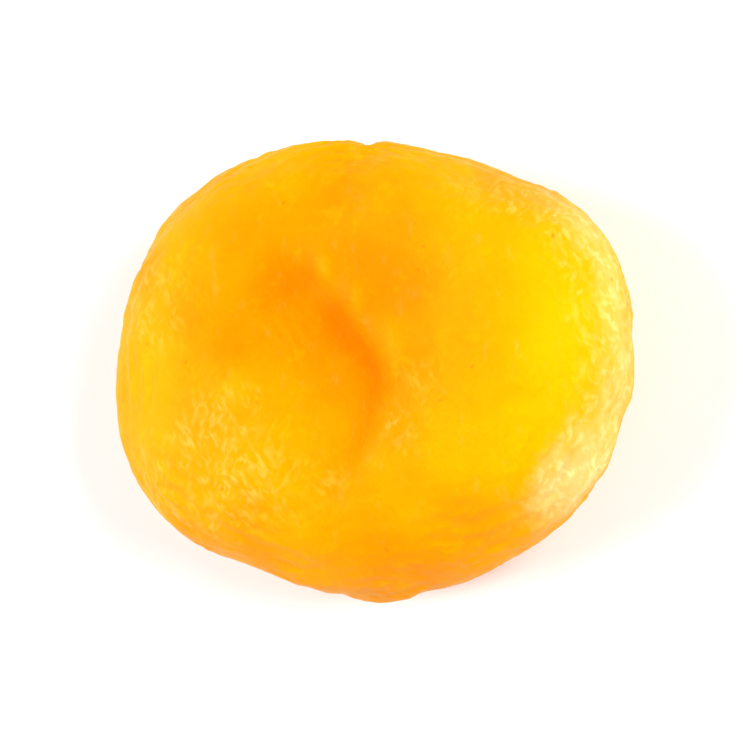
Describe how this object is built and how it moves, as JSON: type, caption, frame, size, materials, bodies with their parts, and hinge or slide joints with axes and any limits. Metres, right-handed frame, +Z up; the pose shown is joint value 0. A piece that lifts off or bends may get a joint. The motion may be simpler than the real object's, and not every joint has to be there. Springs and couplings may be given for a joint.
{
  "type": "dried apricot",
  "caption": "Whole stoned apricot dried flat: plump rounded rim, hooked crease and basin in the upper face, puckered stem end, lying on a small flat underside.",
  "frame": {"origin": "under the middle of the fruit's box, on the plane it rests on", "axes": "+Z up out of the creased upper face, +X along the longest side, +Y towards the stem end"},
  "size_m": [0.0418, 0.0354, 0.0159],
  "materials": {
    "flesh": "soft satin"
  },
  "bodies": {
    "root": {"dried_apricot": "flesh"}
  },
  "joints": []
}
